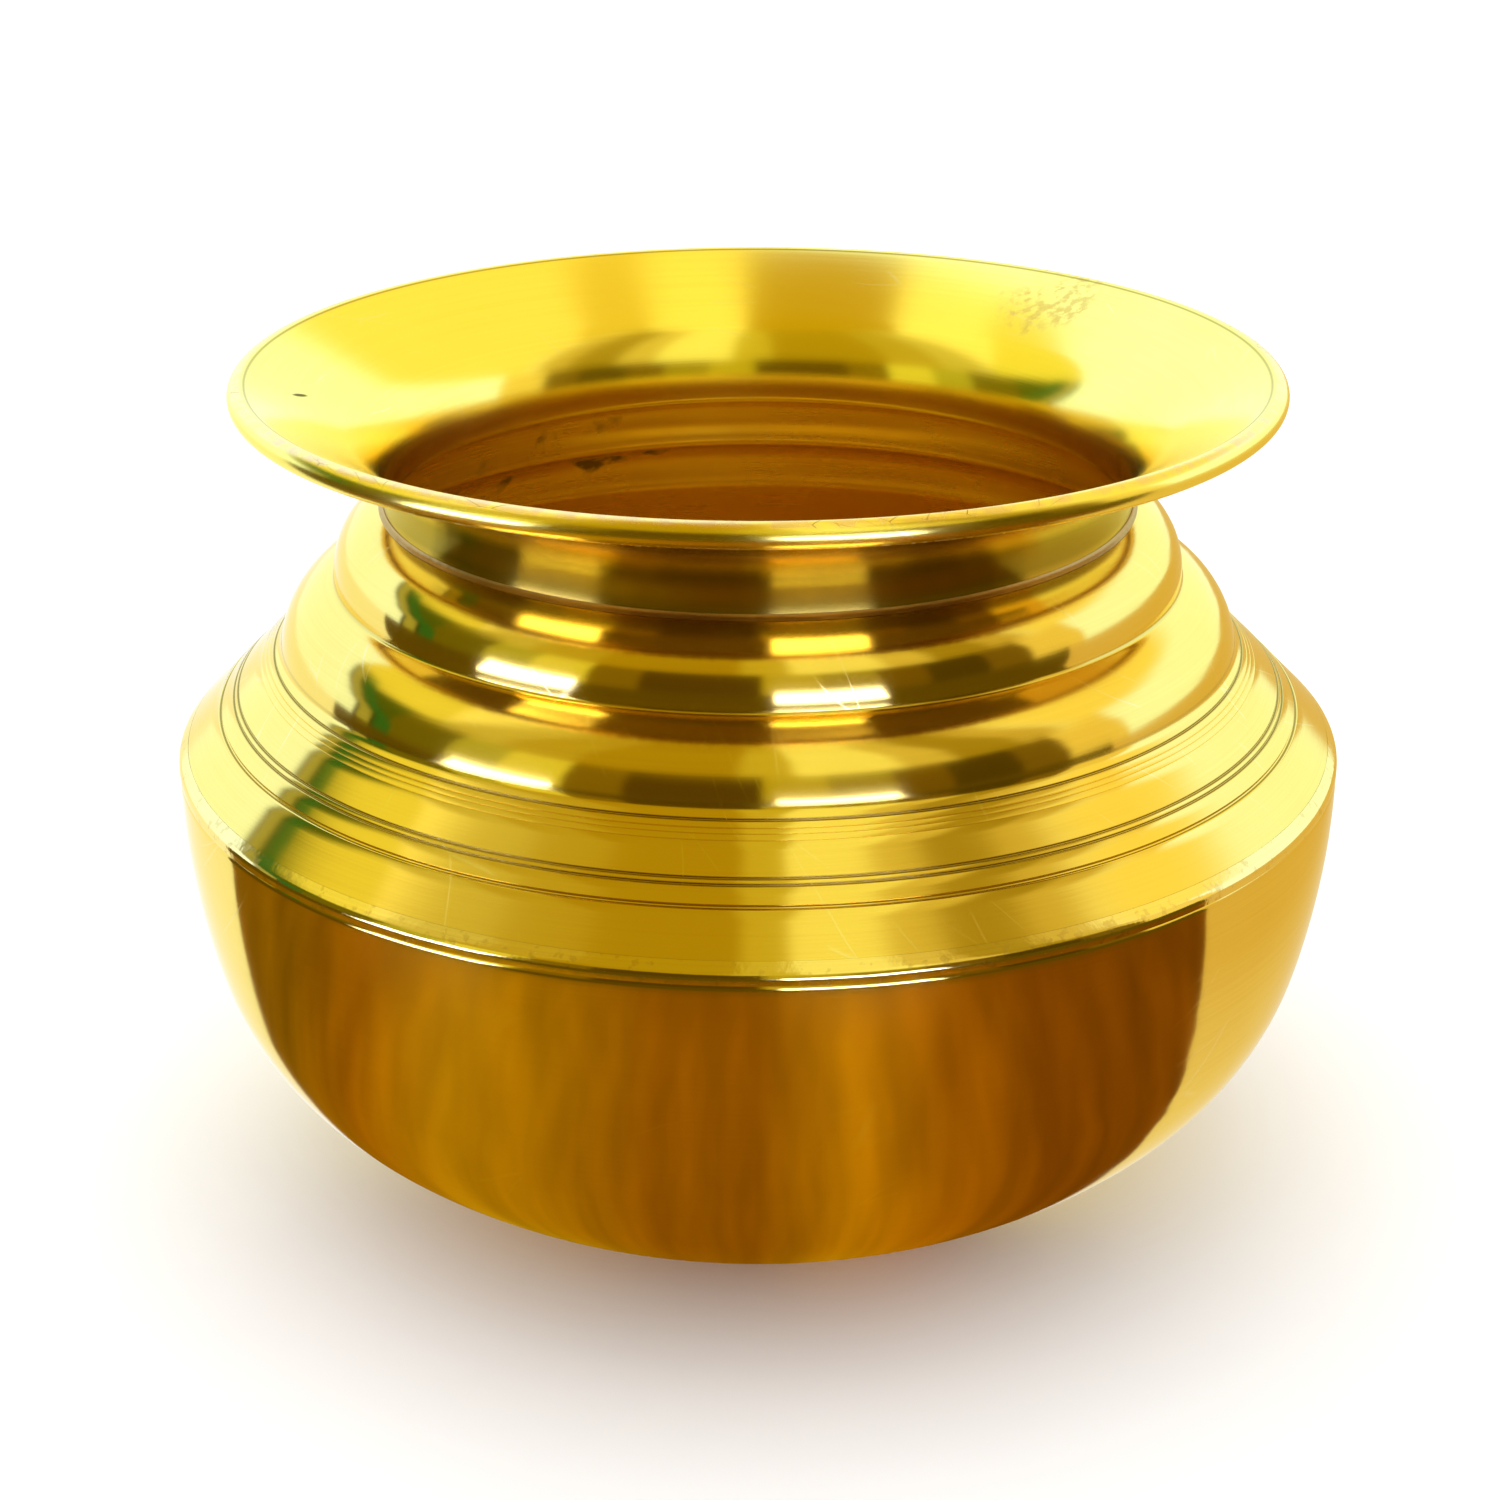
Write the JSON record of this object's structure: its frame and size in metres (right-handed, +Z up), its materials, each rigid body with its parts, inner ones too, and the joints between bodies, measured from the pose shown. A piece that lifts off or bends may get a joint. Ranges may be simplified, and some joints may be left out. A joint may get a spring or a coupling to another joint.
{
  "type": "brass water pot",
  "caption": "Round-bellied brass kalash pot with a stepped, scored shoulder and a wide flared mouth with a wired lip.",
  "frame": {"origin": "middle of the flat foot, on the surface that the pot stands on", "axes": "+Z up along the pot's own axis, through the middle of the mouth; X and Y are alike"},
  "size_m": [0.2162, 0.2162, 0.1541],
  "materials": {
    "polished_brass": "mirror polished, with fine lines round the axis from the lathe and a few wiped-in scratches",
    "satin_brass": "satin, brushed round the axis, with tarnish spots and a scuffed lip",
    "drawn_wire": "dull drawn wire",
    "ridge_spelter": "filed and polished flush, with small nicks",
    "neck_spelter": "reddish braze left as it flowed, half polished"
  },
  "bodies": {
    "root": {"lower_bowl": "polished_brass", "shoulder_shell": "polished_brass", "mouth_flare": "satin_brass", "rim_wire": "drawn_wire", "ridge_braze": "ridge_spelter", "neck_braze": "neck_spelter"}
  },
  "joints": []
}
